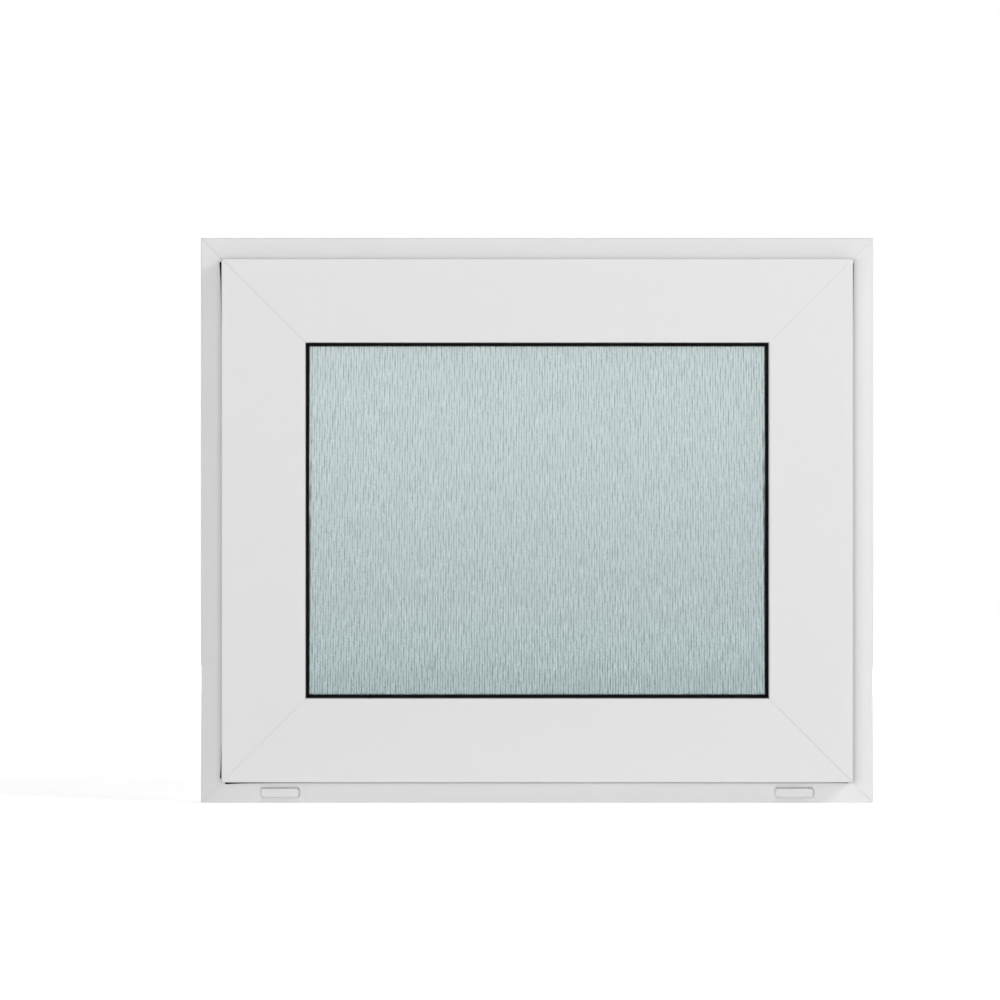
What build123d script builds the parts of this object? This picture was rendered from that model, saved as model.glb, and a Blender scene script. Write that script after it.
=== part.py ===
"""Top-hung awning window of white plastic profiles, for an opening of about 60 x 50 cm, modelled closed.

Millimetres. X runs along the sill, Z is up and the outdoor side faces -Y.
The origin is the middle of the sill's underside, half way through the frame's depth.
Every profile is drawn in two directions: the depth y, and the inset u from the window's outer edge.
"""

import os
from math import radians, sqrt, tan

from build123d import *

# Overall size
window_width = 595.0
window_height = 500.0

# Outer frame
frame_depth = 60.0
frame_rim = 19.0           # frame face left showing round the sash
sash_lap = 8.0             # how far sash flange and frame stop lap over each other's body
stop_height = 20.0         # rise of the frame stop above the rebate floor
stop_thickness = 16.5
frame_wall = 2.8
frame_web = 1.6
drain_chamber_depth = 11.0
back_groove_width = 7.0    # coupling grooves along the wall side
back_groove_depth = 3.0
back_groove_offset = 18.0  # from mid depth

# Sash
sash_face = 74.0           # sash face from its outer edge to the glass line
flange_thickness = 16.5
hardware_gap = 12.0        # between rebate floor and sash body
sash_wall = 2.8
sash_web = 1.6
glazing_rebate = 20.0      # height of the upstand that covers the glass edge
upstand_thickness = 14.0
hardware_groove_width = 12.0
hardware_groove_depth = 4.0
hardware_groove_back = 15.0  # groove centre, forward of the sash's inner face
edge_round = 1.0           # soft edges of the extruded profiles

# Welded mitres of frame and sash
weld_groove_depth = 0.25   # shadow groove left where the weld bead is planed off

# Seals between frame and sash
seal_gap = 3.5             # closed gap that the seals fill
seal_width = 7.0
stop_seal_setback = 1.0    # of the seal from the edge of the frame stop
flange_seal_show = 0.4     # how far the black seal shows past the sash's outer edge
seal_foot_width = 3.0
seal_foot_depth = 3.0
seal_foot_clearance = 0.1

# Glazing
pane_thickness = 4.0
glass_cavity = 12.0
glass_edge_clearance = 5.0
gasket_thickness = 3.0
gasket_lip = 2.8           # how far the black gasket shows past the upstand
gasket_cover = 10.0        # how far the gasket reaches back behind the upstand
gasket_round = 1.4
spacer_depth_in = 5.0      # from the glass edge to the spacer bar
spacer_height = 7.0
spacer_wall = 0.6

# Glazing beads
bead_nose = 5.0            # flat top of the bead beside the glass
bead_toe = 8.0             # upright part of the bead's room side
bead_wall = 1.6
bead_leg_thickness = 3.0
bead_leg_length = 3.6
bead_leg_back = 9.0        # leg centre, forward of the sash's inner face
bead_leg_clearance = 0.2

# Drain slots in the sill and their covers
drain_end_distance = 70.0  # from the sill's end to the slot's middle
drain_slot_length = 28.0
drain_slot_height = 5.0
drain_height = 9.0         # of the slot's middle above the sill's underside
drain_cover_length = 36.0
drain_cover_height = 10.5
drain_cover_proud = 5.0
drain_cover_taper = 20.0   # degrees that its sides lean in
drain_cover_wall = 1.2
drain_cover_round = 3.5    # corners seen from the front
drain_tab_width = 2.0
drain_tab_reach = 5.0
drain_tab_clearance = 0.3

# Handle on the sash's bottom rail, room side
handle_base_length = 68.0
handle_base_width = 24.0
handle_base_thickness = 10.0
handle_neck_foot = 18.0    # diameter where the neck leaves the base
handle_neck_waist = 13.0
handle_neck_length = 18.0
handle_lever_length = 118.0
handle_lever_root = 19.0
handle_lever_tip = 14.0
handle_lever_thickness = 12.0
handle_edge_round = 2.5
handle_grip_round = 4.5    # room-side edge of the lever

# Places that follow from the sizes above
frame_front = -frame_depth / 2
frame_back = frame_depth / 2
rebate_floor = frame_rim + sash_lap
frame_inset = rebate_floor + stop_height
stop_front = frame_back - stop_thickness
sash_front = frame_front - seal_gap - flange_thickness
sash_back = stop_front - seal_gap
flange_back = sash_front + flange_thickness
sash_body = rebate_floor + hardware_gap
glass_line = frame_rim + sash_face
bead_seat = glass_line - glazing_rebate
upstand_back = sash_front + upstand_thickness
outer_pane_front = upstand_back + gasket_thickness
outer_pane_back = outer_pane_front + pane_thickness
inner_pane_front = outer_pane_back + glass_cavity
inner_pane_back = inner_pane_front + pane_thickness
bead_front = inner_pane_back + gasket_thickness
glass_inset = bead_seat + glass_edge_clearance
stop_seal_inset = frame_inset - stop_seal_setback - seal_width / 2
flange_seal_inset = frame_rim - flange_seal_show + seal_width / 2
handle_inset = (frame_inset + bead_seat) / 2
drain_offset = window_width / 2 - drain_end_distance


def rectangle(y_low, y_high, u_low, u_high):
    """A plain rectangle in the profile plane."""
    middle = Pos((y_low + y_high) / 2, (u_low + u_high) / 2)
    return middle * Rectangle(y_high - y_low, u_high - u_low)


def rounded(profile, radius, *corners):
    """The profile with a fillet at each named corner."""
    chosen = [profile.vertices().sort_by_distance((y, u, 0))[0] for y, u in corners]
    return fillet(chosen, radius)


def weld_groove(length, end, face):
    """The V groove along a mitre, on a face given as its depth and its two insets."""
    y_face, u_low, u_high = face
    u_middle = (u_low + u_high) / 2
    side = weld_groove_depth * sqrt(2)
    place = Pos(end * (length / 2 - u_middle), y_face, u_middle) * Rot(0, -end * 45, 0)
    return place * Rot(0, 0, 45) * Box(side, side, (u_high - u_low) * sqrt(2))


def mitred_bar(profile, length, welded_faces=()):
    """A profile run along X, cut at 45 degrees at both ends and grooved along its welds."""
    bar = extrude(Plane.YZ * profile, length / 2, both=True)
    for end in (-1, 1):
        mitre = Plane(origin=(end * length / 2, 0, 0), z_dir=(end, 0, 1))
        bar = split(bar, bisect_by=mitre, keep=Keep.BOTTOM)
        for face in welded_faces:
            bar -= weld_groove(length, end, face)
    return bar


def ring(profile, names, welded_faces=()):
    """Four mitred bars round the window, for names given as bottom, left, top and right."""
    centre = Pos(0, 0, window_height / 2)
    bars = {}
    for index, name in enumerate(names):
        upright = index % 2 == 1
        length = window_height if upright else window_width
        reach = (window_width if upright else window_height) / 2
        place = centre * Rot(0, 90 * index, 0) * Pos(0, 0, -reach)
        bars[name] = place * mitred_bar(profile, length, welded_faces)
    return bars


def seal_foot(y_face, inset, direction, clearance=0.0):
    """The foot that locks a seal in its groove, or the groove itself with a clearance added."""
    half = seal_foot_width / 2 + clearance
    far = y_face + direction * (seal_foot_depth + clearance)
    return rectangle(min(y_face, far), max(y_face, far), inset - half, inset + half)


def frame_profile():
    """The outer frame: a body that lines the wall opening and a stop on the room side, with chambers."""
    body = rectangle(frame_front, frame_back, 0, rebate_floor)
    profile = body + rectangle(stop_front, frame_back, 0, frame_inset)
    profile = rounded(
        profile,
        edge_round,
        (frame_front, 0),
        (frame_front, rebate_floor),
        (stop_front, frame_inset),
        (frame_back, frame_inset),
        (frame_back, 0),
    )
    for side in (-1, 1):
        groove_y = side * back_groove_offset
        profile -= rectangle(
            groove_y - back_groove_width / 2, groove_y + back_groove_width / 2, 0, back_groove_depth
        )
    profile -= seal_foot(stop_front, stop_seal_inset, 1, seal_foot_clearance)
    floor = back_groove_depth + frame_wall
    roof = rebate_floor - frame_wall
    drain_front = frame_front + frame_wall
    drain_back = drain_front + drain_chamber_depth
    stop_chamber_front = stop_front + frame_wall
    stop_chamber_roof = stop_seal_inset - seal_foot_width / 2 - frame_wall
    profile -= rectangle(drain_front, drain_back, floor, roof)
    profile -= rectangle(drain_back + frame_web, stop_chamber_front - frame_web, floor, roof)
    profile -= rectangle(stop_chamber_front, frame_back - frame_wall, floor, stop_chamber_roof)
    return profile


def sash_profile():
    """The sash: a flange that laps over the frame outdoors, a body, and an upstand that covers the glass edge."""
    flange = rectangle(sash_front, flange_back, frame_rim, glass_line)
    body = rectangle(sash_front, sash_back, sash_body, bead_seat)
    upstand = rectangle(sash_front, upstand_back, sash_body, glass_line)
    past_upstand = rectangle(upstand_back, flange_back, bead_seat, glass_line)
    profile = flange - past_upstand + body + upstand
    profile = rounded(
        profile,
        edge_round,
        (sash_front, frame_rim),
        (sash_front, glass_line),
        (sash_back, sash_body),
    )
    groove_y = sash_back - hardware_groove_back
    profile -= rectangle(
        groove_y - hardware_groove_width / 2,
        groove_y + hardware_groove_width / 2,
        sash_body,
        sash_body + hardware_groove_depth,
    )
    profile -= seal_foot(flange_back, flange_seal_inset, -1, seal_foot_clearance)
    profile -= bead_leg(bead_leg_clearance)
    front = sash_front + sash_wall
    front_row_back = upstand_back - sash_wall
    flange_start = flange_seal_inset + seal_foot_width / 2 + sash_wall
    body_start = sash_body + hardware_groove_depth + sash_wall
    body_end = bead_seat - bead_leg_length - sash_wall
    main_back = sash_back - hardware_groove_back - hardware_groove_width / 2 - sash_wall
    profile -= rectangle(front, front_row_back, flange_start, sash_body)
    profile -= rectangle(front, front_row_back, sash_body + sash_web, bead_seat - sash_web)
    profile -= rectangle(front, front_row_back, bead_seat, glass_line - sash_wall)
    profile -= rectangle(front_row_back + sash_web, main_back, sash_body + sash_wall, bead_seat - sash_wall)
    profile -= rectangle(main_back + sash_web, sash_back - sash_wall, body_start, body_end)
    return profile


def bead_leg(clearance=0.0):
    """The leg that snaps a bead into the sash, or its groove with a clearance added."""
    leg_y = sash_back - bead_leg_back
    half = bead_leg_thickness / 2 + clearance
    return rectangle(leg_y - half, leg_y + half, bead_seat - bead_leg_length - clearance, bead_seat)


def bead_profile():
    """A hollow glazing bead with a sloping room side."""
    outline = Polyline(
        (bead_front, bead_seat),
        (sash_back, bead_seat),
        (sash_back, bead_seat + bead_toe),
        (bead_front + bead_nose, glass_line),
        (bead_front, glass_line),
        close=True,
    )
    solid = make_face(outline)
    solid = rounded(
        solid,
        edge_round,
        (sash_back, bead_seat + bead_toe),
        (bead_front + bead_nose, glass_line),
    )
    return solid - offset(solid, -bead_wall) + bead_leg()


def flange_seal_profile():
    """The weather seal under the sash flange, pressed on the frame's outdoor face."""
    low = flange_seal_inset - seal_width / 2
    strip = rectangle(flange_back, frame_front, low, low + seal_width)
    return strip + seal_foot(flange_back, flange_seal_inset, -1)


def stop_seal_profile():
    """The weather seal in the frame stop, pressed on the sash's room side."""
    low = stop_seal_inset - seal_width / 2
    strip = rectangle(sash_back, stop_front, low, low + seal_width)
    return strip + seal_foot(stop_front, stop_seal_inset, 1)


def outer_gasket_profile():
    """The black glazing gasket outdoors, with a lip that shows past the upstand."""
    lip = glass_line + gasket_lip
    strip = rectangle(upstand_back, outer_pane_front, glass_line - gasket_cover, lip)
    return rounded(strip, gasket_round, (upstand_back, lip))


def inner_gasket_profile():
    """The black gasket between bead and inner pane."""
    lip = glass_line + gasket_lip
    strip = rectangle(inner_pane_back, bead_front, glass_line - gasket_cover, lip)
    return rounded(strip, gasket_round, (bead_front, lip))


def spacer_profile():
    """The hollow bar that keeps the two panes apart."""
    low = glass_inset + spacer_depth_in
    bar = rectangle(outer_pane_back, inner_pane_front, low, low + spacer_height)
    return bar - offset(bar, -spacer_wall)


def glass_pane(front):
    """One sheet of glass, as large as the rebate takes with its edge clearance."""
    width = window_width - 2 * glass_inset
    height = window_height - 2 * glass_inset
    place = Pos(0, front + pane_thickness / 2, window_height / 2)
    return place * Box(width, pane_thickness, height)


def drained(sill):
    """The sill with slots that let water out of the rebate and through its outdoor face."""
    slot_top = rebate_floor - frame_wall
    for side in (-1, 1):
        face_slot = Pos(side * drain_offset, frame_front + frame_wall / 2, drain_height)
        sill -= face_slot * Box(drain_slot_length, frame_wall, drain_slot_height)
        floor_y = frame_front + frame_wall + drain_chamber_depth / 2
        floor_slot = Pos(side * drain_offset, floor_y, (slot_top + rebate_floor) / 2)
        sill -= floor_slot * Box(drain_slot_length, drain_slot_height, rebate_floor - slot_top)
    return sill


def drain_cover(side):
    """A snap-on hood over a drain slot, open at its lower edge, with two tabs that hold it in the slot."""
    middle = Pos(side * drain_offset, 0, 0)
    face = Plane(origin=(0, frame_front, drain_height), x_dir=(1, 0, 0), z_dir=(0, -1, 0))
    outline = RectangleRounded(drain_cover_length, drain_cover_height, drain_cover_round)
    hood = extrude(face * outline, drain_cover_proud, taper=drain_cover_taper)
    lean = drain_cover_proud * tan(radians(drain_cover_taper))
    hollow_length = drain_cover_length - 2 * (lean + drain_cover_wall)
    hollow_depth = drain_cover_proud - drain_cover_wall
    hollow_top = drain_height + drain_cover_height / 2 - lean - drain_cover_wall
    hollow_y = frame_front - hollow_depth / 2
    hood -= Pos(0, hollow_y, hollow_top / 2) * Box(hollow_length, hollow_depth, hollow_top)
    tab_x = drain_slot_length / 2 - drain_tab_clearance - drain_tab_width / 2
    tab_height = drain_slot_height - 2 * drain_tab_clearance
    tab_length = drain_tab_reach + hollow_depth
    tab_y = frame_front + drain_tab_reach - tab_length / 2
    for end in (-1, 1):
        hood += Pos(end * tab_x, tab_y, drain_height) * Box(drain_tab_width, tab_length, tab_height)
    return middle * hood


def handle_base():
    """The rosette screwed on the bottom rail."""
    face = Plane(origin=(0, sash_back, handle_inset), x_dir=(1, 0, 0), z_dir=(0, 1, 0))
    base = extrude(face * SlotOverall(handle_base_length, handle_base_width), handle_base_thickness)
    return fillet(base.faces().sort_by(Axis.Y)[-1].edges(), handle_edge_round)


def handle_lever():
    """The waisted neck and the tapering lever, turned along the rail as it lies when locked."""
    base_top = sash_back + handle_base_thickness
    lever_back = base_top + handle_neck_length
    foot = handle_neck_foot / 2
    waist = handle_neck_waist / 2
    side = ThreePointArc((foot, base_top), (waist, (base_top + lever_back) / 2), (foot, lever_back))
    ends = Polyline((foot, lever_back), (0, lever_back), (0, base_top), (foot, base_top))
    neck = Pos(0, 0, handle_inset) * revolve(make_face([side, ends]), Axis.Y)
    face = Plane(origin=(0, lever_back, handle_inset), x_dir=(1, 0, 0), z_dir=(0, 1, 0))
    tip_x = handle_lever_length - handle_lever_tip / 2 - handle_lever_root / 2
    root = Circle(handle_lever_root / 2)
    tip = Pos(tip_x, 0) * Circle(handle_lever_tip / 2)
    outline = make_hull([*root.edges(), *tip.edges()])
    blade = extrude(face * outline, handle_lever_thickness)
    blade = fillet(blade.faces().sort_by(Axis.Y)[-1].edges(), handle_grip_round)
    blade = fillet(blade.faces().sort_by(Axis.Y)[0].edges(), handle_edge_round)
    return blade + neck


def build_parts():
    """Every piece of the window by its node name."""
    sides = ("bottom", "left", "top", "right")
    parts = ring(
        frame_profile(),
        ("frame_sill", "frame_left_jamb", "frame_head", "frame_right_jamb"),
        [(frame_front, 0, rebate_floor), (frame_back, 0, frame_inset)],
    )
    parts["frame_sill"] = drained(parts["frame_sill"])
    parts |= ring(
        sash_profile(),
        ("sash_bottom_rail", "sash_left_stile", "sash_top_rail", "sash_right_stile"),
        [(sash_front, frame_rim, glass_line), (sash_back, sash_body, bead_seat)],
    )
    strips = {
        "flange_seal": flange_seal_profile(),
        "stop_seal": stop_seal_profile(),
        "outer_gasket": outer_gasket_profile(),
        "inner_gasket": inner_gasket_profile(),
        "glazing_bead": bead_profile(),
    }
    for strip, profile in strips.items():
        parts |= ring(profile, [f"{strip}_{side}" for side in sides])
    bottom, left, top, right = ring(spacer_profile(), sides).values()
    parts["glass_spacer"] = bottom + left + top + right
    parts["outer_pane"] = glass_pane(outer_pane_front)
    parts["inner_pane"] = glass_pane(inner_pane_front)
    parts["drain_cover_left"] = drain_cover(-1)
    parts["drain_cover_right"] = drain_cover(1)
    parts["handle_base"] = handle_base()
    parts["handle_lever"] = handle_lever()
    return parts


os.makedirs("parts", exist_ok=True)
for node, solid in build_parts().items():
    export_step(solid, f"parts/{node}.step")
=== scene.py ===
"""Looks of a closed awning window: white plastic frame and sash, black seals and obscure glass."""

import math

import bmesh
import bpy
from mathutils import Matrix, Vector


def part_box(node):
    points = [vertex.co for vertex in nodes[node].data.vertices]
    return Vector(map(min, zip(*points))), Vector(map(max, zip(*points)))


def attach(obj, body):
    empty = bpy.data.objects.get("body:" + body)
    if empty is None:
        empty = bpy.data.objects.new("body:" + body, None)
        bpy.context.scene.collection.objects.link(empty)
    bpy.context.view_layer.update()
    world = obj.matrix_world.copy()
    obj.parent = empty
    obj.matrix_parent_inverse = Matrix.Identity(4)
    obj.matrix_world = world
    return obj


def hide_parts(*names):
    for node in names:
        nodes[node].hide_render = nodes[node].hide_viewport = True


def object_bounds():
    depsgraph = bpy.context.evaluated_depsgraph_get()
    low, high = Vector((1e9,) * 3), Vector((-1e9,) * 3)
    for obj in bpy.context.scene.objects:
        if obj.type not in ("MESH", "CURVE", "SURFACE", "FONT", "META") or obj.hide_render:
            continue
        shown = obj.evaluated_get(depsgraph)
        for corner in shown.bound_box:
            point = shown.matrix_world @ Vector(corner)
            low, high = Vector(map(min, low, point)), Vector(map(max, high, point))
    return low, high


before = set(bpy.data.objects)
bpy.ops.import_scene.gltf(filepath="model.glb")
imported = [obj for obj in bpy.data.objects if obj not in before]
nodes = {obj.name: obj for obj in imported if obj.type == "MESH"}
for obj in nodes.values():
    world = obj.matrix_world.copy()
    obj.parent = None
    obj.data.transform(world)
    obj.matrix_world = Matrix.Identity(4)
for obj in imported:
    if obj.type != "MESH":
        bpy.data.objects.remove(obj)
cad_low, cad_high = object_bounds()
scene = bpy.context.scene
scene.view_settings.view_transform = "Standard"

# Studio
# The window stands on a white floor. A key lamp hangs high on the right, so that the sash shades the frame's
# left side. Two low strips of light stand in front, another lights the room side, and a faint sky fills in.


class Wire:
    """One output of a node. Arithmetic on it adds Math nodes to the same tree."""

    def __init__(self, socket):
        self.socket = socket

    def math(self, operation, *operands):
        tree = self.socket.id_data
        node = tree.nodes.new("ShaderNodeMath")
        node.operation = operation
        for slot, operand in zip(node.inputs, operands):
            if isinstance(operand, Wire):
                tree.links.new(operand.socket, slot)
            else:
                slot.default_value = operand
        return Wire(node.outputs[0])

    def __add__(self, other):
        return self.math("ADD", self, other)

    __radd__ = __add__

    def __sub__(self, other):
        return self.math("SUBTRACT", self, other)

    def __rsub__(self, other):
        return self.math("SUBTRACT", other, self)

    def __mul__(self, other):
        return self.math("MULTIPLY", self, other)

    __rmul__ = __mul__

    def __abs__(self):
        return self.math("ABSOLUTE", self)

    def cosine(self):
        return self.math("COSINE", self)

    def other(self, name):
        """Another output of the same node."""
        return Wire(self.socket.node.outputs[name])


class Graph:
    """A node tree under construction, with one method that adds any node and short ones for common nodes."""

    def __init__(self, tree):
        self.tree = tree

    def node(self, kind, settings=None, inputs=None, output=0):
        node = self.tree.nodes.new(kind)
        for name, value in (settings or {}).items():
            setattr(node, name, value)
        for name, value in (inputs or {}).items():
            if isinstance(value, Wire):
                self.tree.links.new(value.socket, node.inputs[name])
            else:
                node.inputs[name].default_value = value
        return Wire(node.outputs[output]) if node.outputs else None

    def place(self):
        """Where a point lies in its object."""
        return self.node("ShaderNodeTexCoord", output="Object")

    def vector(self, **parts):
        """A vector from its parts, of which those left out are 0."""
        return self.node("ShaderNodeCombineXYZ", None, parts)

    def noise(self, place, scale, detail):
        """Soft random values between 0 and 1."""
        return self.node("ShaderNodeTexNoise", None, {"Vector": place, "Scale": scale, "Detail": detail})

    def rise(self, value, low, high):
        """0 below low, 1 above high and a smooth rise between them."""
        return self.node(
            "ShaderNodeMapRange",
            {"interpolation_type": "SMOOTHSTEP"},
            {"Value": value, "From Min": low, "From Max": high},
        )

    def blend(self, factor, first, second):
        """A colour between two colours."""
        return self.node(
            "ShaderNodeMix",
            {"data_type": "RGBA"},
            {"Factor": factor, 6: first, 7: second},
            output=2,
        )

    def bumps(self, height, distance, strength):
        """A normal that follows a fine relief."""
        return self.node(
            "ShaderNodeBump",
            None,
            {"Strength": strength, "Distance": distance, "Height": height},
        )

    def coat(self, inputs):
        """Ends a material with one principled surface."""
        surface = self.node("ShaderNodeBsdfPrincipled", None, inputs)
        self.node("ShaderNodeOutputMaterial", None, {"Surface": surface})


def new_material(name):
    """An empty material and the graph of its nodes."""
    material = bpy.data.materials.new(name)
    material.use_nodes = True
    material.node_tree.nodes.clear()
    return material, Graph(material.node_tree)


def seen_directly(graph):
    """1 for rays on which the background shows: the eye's own, mirrored ones and those through glass."""
    ray = graph.node("ShaderNodeLightPath", output="Is Camera Ray")
    bent = ray.math("MAXIMUM", ray.other("Is Glossy Ray"), ray.other("Is Transmission Ray"))
    return ray.math("MAXIMUM", ray, bent)


sky_light = 0.12
world = bpy.data.worlds.new("even_sky")
world.use_nodes = True
world.node_tree.nodes.clear()
sky = Graph(world.node_tree)
sky_strength = sky_light + (1 - sky_light) * seen_directly(sky)
background = sky.node("ShaderNodeBackground", None, {"Color": (1, 1, 1, 1), "Strength": sky_strength})
sky.node("ShaderNodeOutputWorld", None, {"Surface": background})
scene.world = world

floor_reach = 12.0
floor_white = 0.90
floor_glow = 0.09
# what makes the seen floor white: less near the window, where lamps help, so that its shadow stays
near_lift = 0.66
near_distance = 0.6
far_lift = 0.90
far_distance = 3.0
floor_mesh = bpy.data.meshes.new("floor")
floor_mesh.from_pydata(
    [(x * floor_reach, y * floor_reach, 0) for x, y in ((-1, -1), (1, -1), (1, 1), (-1, 1))],
    [],
    [(0, 1, 2, 3)],
)
floor = bpy.data.objects.new("floor", floor_mesh)
scene.collection.objects.link(floor)
floor_material, paint = new_material("floor_white")
matt = paint.node("ShaderNodeBsdfDiffuse", None, {"Color": (floor_white, floor_white, floor_white, 1)})
distance = paint.node("ShaderNodeVectorMath", {"operation": "LENGTH"}, {0: paint.place()}, "Value")
lift = near_lift + (far_lift - near_lift) * paint.rise(distance, near_distance, far_distance)
floor_strength = floor_glow + (lift - floor_glow) * seen_directly(paint)
glow = paint.node("ShaderNodeEmission", None, {"Strength": floor_strength})
both = paint.node("ShaderNodeAddShader", None, {0: matt, 1: glow})
paint.node("ShaderNodeOutputMaterial", None, {"Surface": both})
floor_mesh.materials.append(floor_material)

window_middle = (cad_low + cad_high) / 2


def hang_lamp(name, direction, distance, width, height, power):
    """A soft lamp that faces the window and doesn't show itself."""
    lamp = bpy.data.lights.new(name, "AREA")
    lamp.shape = "RECTANGLE"
    lamp.size = width
    lamp.size_y = height
    lamp.energy = power
    piece = bpy.data.objects.new(name, lamp)
    toward = Vector(direction).normalized()
    piece.location = window_middle + toward * distance
    piece.rotation_euler = toward.to_track_quat("Z", "Y").to_euler()
    piece.visible_camera = False
    piece.visible_transmission = False
    piece.visible_glossy = False
    scene.collection.objects.link(piece)


hang_lamp("key", direction=(0.71, -0.50, 0.49), distance=4.0, width=1.1, height=1.1, power=53.0)
hang_lamp("front", direction=(0.0, -1.0, 0.03), distance=4.5, width=2.0, height=0.5, power=50.5)
hang_lamp("front_left", direction=(-0.30, -0.95, 0.03), distance=4.5, width=2.0, height=0.5, power=45.0)
hang_lamp("room", direction=(0.10, 1.00, 0.25), distance=4.0, width=3.0, height=1.5, power=95.0)

frame_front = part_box("frame_sill")[0].y
lens = 200.0
film = 36.0
view_width = 0.8854
eye = Vector((-0.0328, 0, 0.2681))
camera_data = bpy.data.cameras.new("camera")
camera_data.lens = lens
camera_data.sensor_width = film
camera_data.clip_end = 100.0
camera = bpy.data.objects.new("camera", camera_data)
camera.location = (eye.x, frame_front - view_width * lens / film, eye.z)
camera.rotation_euler = (math.radians(90), 0, 0)
scene.collection.objects.link(camera)
scene.camera = camera

# Frame, sash and glazing beads
# Bars of white window plastic, extruded through a die, sawn at 45 degrees and welded at the corners. The
# weld bead is planed off and leaves a fine grey line, and the welds at the top left and bottom right corners
# get extra painted shade. The beads are cut to length and snapped in.
plastic_ior = 1.46
plastic_pale = (0.795, 0.796, 0.797, 1)
plastic_white = (0.812, 0.812, 0.810, 1)
# grey of the dirt in the weld lines and of the painted shade on some of them
dust_and_shade_grey = (0.32, 0.32, 0.31, 1)
die_line_shrink = 0.01
weld_core = 0.0003
weld_edge = 0.0016
corner_spread = 0.004
# a little dirt on every weld line, and painted shade on the welds at the top left and bottom right corners
rising_weld_dust = 0.03
falling_weld_shade = 0.13


def finish_with(material, names):
    """Puts one material on CAD nodes."""
    for name in names:
        for slot in nodes[name].material_slots:
            slot.material = material


def white_plastic(name, die_stretch):
    """Satin white plastic with faint die lines along one axis, dirty weld lines and painted shade on the
    welds at the top left and bottom right corners.
    """
    material, graph = new_material(name)
    place = graph.place()
    stretched = graph.node("ShaderNodeMapping", None, {"Vector": place, "Scale": die_stretch})
    die_lines = graph.noise(stretched, scale=700.0, detail=3.0)
    mottle = graph.noise(place, scale=18.0, detail=4.0)
    peel = graph.noise(place, scale=420.0, detail=2.0)
    x = graph.node("ShaderNodeSeparateXYZ", None, {"Vector": place})
    z = x.other("Z") - window_middle.z
    half_difference = (cad_high.x - cad_low.x) / 2 - (cad_high.z - cad_low.z) / 2
    off_mitre = abs(abs(x) - abs(z) - half_difference)
    weld = 1 - graph.rise(off_mitre, weld_core, weld_edge)
    # painted shade: the welds at the top left and bottom right corners, where x and z have opposite signs,
    # are greyed more than the others
    falling = 1 - graph.rise(x * z, -corner_spread, corner_spread)
    weld_dust_and_shade = weld * (rising_weld_dust + falling_weld_shade * falling) * (0.3 + 1.1 * mottle)
    white = graph.blend(0.5 * mottle + 0.35 * die_lines, plastic_pale, plastic_white)
    graph.coat({
        "Base Color": graph.blend(weld_dust_and_shade, white, dust_and_shade_grey),
        "Roughness": 0.34 + 0.14 * mottle + 0.06 * die_lines,
        "IOR": plastic_ior,
        "Normal": graph.bumps(0.6 * die_lines + 0.4 * peel, distance=0.0002, strength=0.10),
    })
    return material


level_bars = [n for n in nodes if n in ("frame_sill", "frame_head") or n.endswith("_rail")]
level_bars += ["glazing_bead_bottom", "glazing_bead_top"]
upright_bars = [n for n in nodes if n.endswith(("_jamb", "_stile"))]
upright_bars += ["glazing_bead_left", "glazing_bead_right"]
finish_with(white_plastic("white_plastic_level", (die_line_shrink, 1, 1)), level_bars)
finish_with(white_plastic("white_plastic_upright", (1, 1, die_line_shrink)), upright_bars)

# Stop seal and glazing gaskets
# Black elastomer strips, extruded on the plastic bars and welded with them, so that they are mitred too.
rubber_black = (0.003, 0.003, 0.0033, 1)
rubber_bloom = (0.009, 0.009, 0.0095, 1)


def black_rubber(name):
    """Matt black elastomer with a trace of grey bloom."""
    material, graph = new_material(name)
    place = graph.place()
    bloom = graph.noise(place, scale=90.0, detail=5.0)
    grain = graph.noise(place, scale=2600.0, detail=2.0)
    graph.coat({
        "Base Color": graph.blend(graph.rise(bloom, 0.45, 0.8), rubber_black, rubber_bloom),
        "Roughness": 0.6 + 0.2 * bloom,
        "Specular IOR Level": 0.08,
        "Normal": graph.bumps(grain, distance=0.0001, strength=0.3),
    })
    return material


rubber = black_rubber("black_rubber")
finish_with(rubber, [n for n in nodes if n.startswith("stop_seal") or "gasket" in n])

# Flange seal
# A soft black strip in a groove under the sash's flange. The closed sash presses it out past the flange's
# edge, more near the welded corners, where it can't give.
seal_gap = 0.0035
seal_width = 0.007
lip_stations = 160
lip_nose_steps = 8
lip_start = 0.002
lip_rise = 0.003
sash_low = Vector((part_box("sash_left_stile")[0].x, 0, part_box("sash_bottom_rail")[0].z))
sash_high = Vector((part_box("sash_right_stile")[1].x, 0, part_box("sash_top_rail")[1].z))
sash_half = (sash_high - sash_low) / 2
outward_sides = {
    "bottom": Vector((0, 0, -1)),
    "top": Vector((0, 0, 1)),
    "left": Vector((-1, 0, 0)),
    "right": Vector((1, 0, 0)),
}
rest_show = {"bottom": 0.0010, "top": 0.0002, "left": 0.0006, "right": 0.0004}
# extra show at the low or left end of a side, then at its other end, and how far along each dies away
end_swell = {
    "bottom": (0.0018, 0.0007),
    "top": (0.0008, 0.0003),
    "left": (0.0022, 0.0024),
    "right": (0.0006, 0.0014),
}
end_reach = {
    "bottom": (0.022, 0.012),
    "top": (0.006, 0.010),
    "left": (0.018, 0.030),
    "right": (0.010, 0.105),
}


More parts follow.
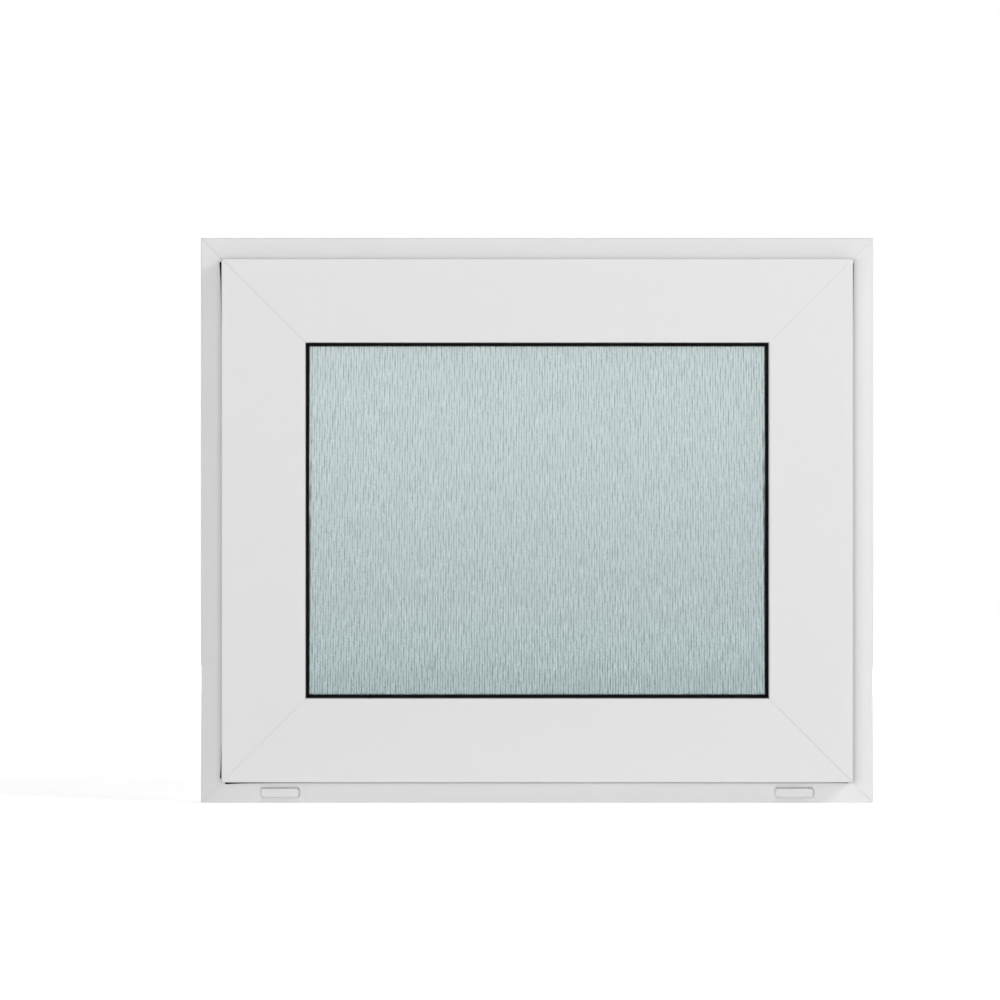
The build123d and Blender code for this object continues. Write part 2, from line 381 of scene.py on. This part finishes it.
def seal_lip(side):
    """One strip of the seal, with a rounded nose that swells towards the ends."""
    outward = outward_sides[side]
    along = Vector((abs(outward.z), 0, abs(outward.x)))
    half_along = sash_half.dot(along)
    half_out = abs(sash_half.dot(outward))
    middle = Vector((window_middle.x, frame_front - seal_gap / 2, window_middle.z))
    shape = bmesh.new()
    rings = []
    for station in range(lip_stations + 1):
        spread = math.sin(math.pi * (station / lip_stations - 0.5))
        from_ends = ((1 + spread) * half_along, (1 - spread) * half_along)
        show = rest_show[side]
        for from_end, swell, reach in zip(from_ends, end_swell[side], end_reach[side]):
            show += swell * math.exp(-from_end / reach)
        show *= min(1.0, max(0.0, (min(from_ends) - lip_start) / lip_rise))
        section = [(seal_gap / 2, show - seal_width)]
        for step in range(lip_nose_steps + 1):
            angle = math.pi * (0.5 - step / lip_nose_steps)
            section.append((seal_gap / 2 * math.sin(angle), show * math.cos(angle)))
        section.append((-seal_gap / 2, show - seal_width))
        ring = []
        for depth, past_edge in section:
            spot = middle + along * spread * (half_along + past_edge) + outward * (half_out + past_edge)
            ring.append(shape.verts.new(spot + Vector((0, depth, 0))))
        rings.append(ring)
    for first, second in zip(rings, rings[1:]):
        for index in range(len(first)):
            shape.faces.new((first[index - 1], first[index], second[index], second[index - 1]))
    shape.faces.new(rings[0])
    shape.faces.new(rings[-1])
    bmesh.ops.recalc_face_normals(shape, faces=shape.faces)
    mesh = bpy.data.meshes.new(f"seal_lip_{side}")
    shape.to_mesh(mesh)
    shape.free()
    mesh.materials.append(rubber)
    piece = bpy.data.objects.new(f"seal_lip_{side}", mesh)
    scene.collection.objects.link(piece)
    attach(piece, "root")
    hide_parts(f"flange_seal_{side}")


for side in outward_sides:
    seal_lip(side)

# Outer pane
# Rolled obscure glass, pale grey-green: a patterned roller leaves fine upright grooves, broken into short
# strokes, in its outdoor face. The pane lies against the outdoor gasket.
pane_low, pane_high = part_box("outer_pane")
groove_pitch = 0.0046
groove_row = 0.0125
groove_depth = 0.0001
groove_stretch = 0.12
groove_lean = 0.05
groove_share = 0.50
row_bow = 1.5
row_slip = 0.012
row_share = 0.30
columns_a_groove = 11
row_height = 0.004
glass_ior = 1.5
glass_pale = (0.75, 0.82, 0.84, 1)
glass_dark = (0.222, 0.285, 0.290, 1)
stroke_tone = 0.53
fibre_tone = 0.90
clean_tone = 0.175
# painted shade: the glass grows darker towards the sill, and its pattern fainter
painted_shade_tone = 0.61
painted_shade_veil = 0.45     # share of the pattern that the full painted shade hides
painted_shade_top = 0.15      # above the window's middle
painted_shade_bottom = -0.14


def stroke_field(graph, across, upward):
    """High along fine upright grooves, which grow strong and weak in turn along slightly bowed rows."""
    spot = graph.vector(X=across, Z=upward * groove_stretch)
    strength = graph.noise(spot, scale=420.0, detail=0.0)
    slip = graph.node("ShaderNodeTexNoise", {"noise_dimensions": "1D"}, {"W": across, "Scale": 140.0})
    turn = (across + groove_lean * across * upward) * (2 * math.pi / groove_pitch)
    level = upward - row_bow * across * across + (slip - 0.5) * row_slip
    rows = level * (math.pi / groove_row)
    grooves = row_share * turn.cosine() * rows.cosine() + groove_share * (2 * turn).cosine()
    return graph.rise(grooves + (strength - 0.5), -0.3, 1.0)


rolled = bpy.data.node_groups.new("rolled_face", "GeometryNodeTree")
rolled.interface.new_socket("Geometry", in_out="INPUT", socket_type="NodeSocketGeometry")
rolled.interface.new_socket("Geometry", in_out="OUTPUT", socket_type="NodeSocketGeometry")
for size_name in ("Width", "Height", "Front", "Middle Height", "Groove Depth"):
    rolled.interface.new_socket(size_name, in_out="INPUT", socket_type="NodeSocketFloat")
for count_name in ("Columns", "Rows"):
    rolled.interface.new_socket(count_name, in_out="INPUT", socket_type="NodeSocketInt")
rolled.interface.new_socket("Glass", in_out="INPUT", socket_type="NodeSocketMaterial")
roller = Graph(rolled)
given = roller.node("NodeGroupInput")
sheet = roller.node(
    "GeometryNodeMeshGrid",
    None,
    {
        "Size X": given.other("Width"),
        "Size Y": given.other("Height"),
        "Vertices X": given.other("Columns"),
        "Vertices Y": given.other("Rows"),
    },
)
point = roller.node("GeometryNodeInputPosition")
across = roller.node("ShaderNodeSeparateXYZ", None, {"Vector": point})
upward = across.other("Y")
raised = roller.vector(
    X=across,
    Y=given.other("Front") + stroke_field(roller, across, upward) * given.other("Groove Depth"),
    Z=upward + given.other("Middle Height"),
)
pressed = roller.node("GeometryNodeSetPosition", None, {"Geometry": sheet, "Position": raised})
smooth = roller.node("GeometryNodeSetShadeSmooth", None, {"Geometry": pressed})
plain = roller.node("GeometryNodeRealizeInstances", None, {"Geometry": smooth})
glazed = roller.node("GeometryNodeSetMaterial", None, {"Geometry": plain, "Material": given.other("Glass")})
roller.node("NodeGroupOutput", None, {"Geometry": glazed})


def patterned_glass(name):
    """Tinted glass that blurs what is behind it, darker in its grooves and, by painted shade, towards the
    sill.
    """
    material, graph = new_material(name)
    place = graph.place()
    x = graph.node("ShaderNodeSeparateXYZ", None, {"Vector": place})
    z = x.other("Z") - window_middle.z
    upright = graph.node("ShaderNodeMapping", None, {"Vector": place, "Scale": (1, 1, groove_stretch)})
    fibre = graph.noise(upright, scale=1000.0, detail=2.0)
    stroke = stroke_field(graph, x, z)
    # painted shade, growing towards the sill
    sinking = graph.node(
        "ShaderNodeMapRange",
        None,
        {"Value": z * -1, "From Min": -painted_shade_top, "From Max": -painted_shade_bottom},
    )
    painted_shade = sinking * sinking
    pattern = stroke_tone * stroke + fibre_tone * (fibre - 0.5)
    dark = pattern * (1 - painted_shade_veil * painted_shade) + clean_tone + painted_shade_tone * painted_shade
    graph.coat({
        "Base Color": graph.blend(dark, glass_pale, glass_dark),
        "Roughness": 0.18 + 0.10 * stroke,
        "IOR": glass_ior,
        "Transmission Weight": 0.92,
    })
    return material


pane_width = pane_high.x - pane_low.x
pane_height = pane_high.z - pane_low.z
pane_sizes = {
    "Width": pane_width,
    "Height": pane_height,
    "Front": pane_low.y,
    "Middle Height": window_middle.z,
    "Groove Depth": groove_depth,
    "Columns": round(pane_width / groove_pitch * columns_a_groove),
    "Rows": round(pane_height / row_height),
    "Glass": patterned_glass("obscure_glass"),
}


def grown_mesh(tree, values, name):
    """The plain mesh that a geometry tree gives for these inputs."""
    seed = bpy.data.objects.new(name, bpy.data.meshes.new(name))
    scene.collection.objects.link(seed)
    modifier = seed.modifiers.new(name, "NODES")
    modifier.node_group = tree
    for item in tree.interface.items_tree:
        if item.in_out == "INPUT" and item.name in values:
            modifier[item.identifier] = values[item.name]
    evaluated = seed.evaluated_get(bpy.context.evaluated_depsgraph_get())
    mesh = bpy.data.meshes.new_from_object(evaluated)
    bpy.data.objects.remove(seed)
    finish = next(m for m in mesh.materials if m)
    mesh.materials.clear()
    mesh.materials.append(finish)
    mesh.polygons.foreach_set("material_index", [0] * len(mesh.polygons))
    return mesh


pane_mesh = grown_mesh(rolled, pane_sizes, "rolled_face")
pane = bmesh.new()
pane.from_mesh(pane_mesh)
corners = {}
for right in (False, True):
    for top in (False, True):
        spot = (pane_high.x if right else pane_low.x, pane_high.y, pane_high.z if top else pane_low.z)
        corners[right, top] = pane.verts.new(spot)
rim = {v for e in pane.edges if e.is_boundary for v in e.verts}
slack = 1e-6
pane_edges = (
    ("x", pane_low.x, "z", (False, False), (False, True)),
    ("x", pane_high.x, "z", (True, False), (True, True)),
    ("z", pane_low.z, "x", (False, False), (True, False)),
    ("z", pane_high.z, "x", (False, True), (True, True)),
)
for fixed, value, running, first, last in pane_edges:
    run = [v for v in rim if abs(getattr(v.co, fixed) - value) < slack]
    run.sort(key=lambda v: getattr(v.co, running))
    pane.faces.new(run + [corners[last], corners[first]])
pane.faces.new([corners[False, False], corners[True, False], corners[True, True], corners[False, True]])
bmesh.ops.recalc_face_normals(pane, faces=pane.faces)
pane.to_mesh(pane_mesh)
pane.free()
patterned_pane = bpy.data.objects.new("patterned_pane", pane_mesh)
scene.collection.objects.link(patterned_pane)
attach(patterned_pane, "root")
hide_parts("outer_pane")

# Inner pane and spacer
# A clear float pane on the room side, kept 12 mm from the patterned one by a bent aluminium bar, and
# sealed to it all round.
float_tint = (0.93, 0.965, 0.955, 1)
metal_dark = (0.52, 0.53, 0.54, 1)
metal_pale = (0.66, 0.67, 0.68, 1)


def clear_glass(name):
    """Clear float glass that lets lamps through."""
    material, graph = new_material(name)
    film_marks = graph.noise(graph.place(), scale=25.0, detail=4.0)
    glass = graph.node(
        "ShaderNodeBsdfPrincipled",
        None,
        {
            "Base Color": float_tint,
            "Roughness": 0.03 * graph.rise(film_marks, 0.5, 0.8),
            "IOR": glass_ior,
            "Transmission Weight": 1.0,
        },
    )
    open_air = graph.node("ShaderNodeBsdfTransparent", None, {"Color": float_tint})
    lamp_ray = graph.node("ShaderNodeLightPath", output="Is Shadow Ray")
    either = graph.node("ShaderNodeMixShader", None, {0: lamp_ray, 1: glass, 2: open_air})
    graph.node("ShaderNodeOutputMaterial", None, {"Surface": either})
    return material


def spacer_metal(name):
    """Mill-finished aluminium with a fine grain."""
    material, graph = new_material(name)
    grain = graph.noise(graph.place(), scale=1500.0, detail=3.0)
    graph.coat({
        "Base Color": graph.blend(grain, metal_dark, metal_pale),
        "Metallic": 1.0,
        "Roughness": 0.32 + 0.15 * grain,
    })
    return material


finish_with(clear_glass("clear_float_glass"), ["inner_pane"])
finish_with(spacer_metal("spacer_metal"), ["glass_spacer"])

# Drain covers and handle
# The covers are small white mouldings snapped into the sill's drain slots. The handle is a zinc casting
# with a white powder coat, screwed on the bottom rail.
coat_variation = 0.01


def white_coating(name, white, grain_scale, grain_depth):
    """White moulded or coated surface with a fine skin texture."""
    material, graph = new_material(name)
    place = graph.place()
    skin = graph.noise(place, scale=grain_scale, detail=2.0)
    mottle = graph.noise(place, scale=60.0, detail=3.0)
    low = white - coat_variation
    high = white + coat_variation
    graph.coat({
        "Base Color": graph.blend(mottle, (low, low, low, 1), (high, high, white, 1)),
        "Roughness": 0.28 + 0.14 * mottle,
        "IOR": plastic_ior,
        "Normal": graph.bumps(skin, distance=grain_depth, strength=0.2),
    })
    return material


moulded_white = white_coating("moulded_white", white=0.82, grain_scale=900.0, grain_depth=0.0001)
powder_coat = white_coating("white_powder_coat", white=0.80, grain_scale=600.0, grain_depth=0.0002)
finish_with(moulded_white, ["drain_cover_left", "drain_cover_right"])
finish_with(powder_coat, ["handle_base", "handle_lever"])

# Handle screws
# Two raised countersunk screws, 43 mm apart, hold the handle's base on the rail. Their heads have a cross
# recess and are lacquered white with the handle.
base_low, base_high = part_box("handle_base")
screw_lengths = {
    "Spacing": 0.043,
    "Head Radius": 0.0045,
    "Head Height": 0.0013,
    "Recess Length": 0.0048,
    "Recess Width": 0.0009,
    "Recess Depth": 0.0012,
}
screw_sizes = {
    **screw_lengths,
    "Centre": Vector(((base_low.x + base_high.x) / 2, base_high.y, (base_low.z + base_high.z) / 2)),
    "Lacquer": powder_coat,
}
screws = bpy.data.node_groups.new("handle_screws", "GeometryNodeTree")
screws.interface.new_socket("Geometry", in_out="INPUT", socket_type="NodeSocketGeometry")
screws.interface.new_socket("Geometry", in_out="OUTPUT", socket_type="NodeSocketGeometry")
for size_name in screw_lengths:
    screws.interface.new_socket(size_name, in_out="INPUT", socket_type="NodeSocketFloat")
screws.interface.new_socket("Centre", in_out="INPUT", socket_type="NodeSocketVector")
screws.interface.new_socket("Lacquer", in_out="INPUT", socket_type="NodeSocketMaterial")
turner = Graph(screws)
given = turner.node("NodeGroupInput")
radius = given.other("Head Radius")
height = given.other("Head Height")
ball = turner.node("GeometryNodeMeshUVSphere", None, {"Segments": 40, "Rings": 20, "Radius": 1.0})
head_scale = turner.vector(X=radius, Y=height, Z=radius)
head = turner.node("GeometryNodeTransform", None, {"Geometry": ball, "Scale": head_scale})
length = given.other("Recess Length")
width = given.other("Recess Width")
depth = given.other("Recess Depth")
level_slot = turner.node("GeometryNodeMeshCube", None, {"Size": turner.vector(X=length, Y=depth, Z=width)})
upright_slot = turner.node("GeometryNodeMeshCube", None, {"Size": turner.vector(X=width, Y=depth, Z=length)})
cross = turner.node("GeometryNodeMeshBoolean", {"operation": "UNION"}, {"Mesh 2": level_slot})
screws.links.new(upright_slot.socket, cross.socket.node.inputs["Mesh 2"])
crown = turner.vector(Y=height)
raised_cross = turner.node("GeometryNodeTransform", None, {"Geometry": cross, "Translation": crown})
slotted = turner.node(
    "GeometryNodeMeshBoolean",
    {"operation": "DIFFERENCE"},
    {"Mesh 1": head, "Mesh 2": raised_cross},
)
step = turner.vector(X=given.other("Spacing"))
half_step = turner.vector(X=given.other("Spacing") * -0.5)
start = turner.node("ShaderNodeVectorMath", {"operation": "ADD"}, {0: given.other("Centre"), 1: half_step})
places = turner.node("GeometryNodeMeshLine", None, {"Count": 2, "Start Location": start, "Offset": step})
pair = turner.node("GeometryNodeInstanceOnPoints", None, {"Points": places, "Instance": slotted})
solid = turner.node("GeometryNodeRealizeInstances", None, {"Geometry": pair})
coated = turner.node("GeometryNodeSetMaterial", None, {"Geometry": solid, "Material": given.other("Lacquer")})
turner.node("NodeGroupOutput", None, {"Geometry": coated})
screw_mesh = grown_mesh(screws, screw_sizes, "handle_screws")
handle_screws = bpy.data.objects.new("handle_screws", screw_mesh)
scene.collection.objects.link(handle_screws)
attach(handle_screws, "root")
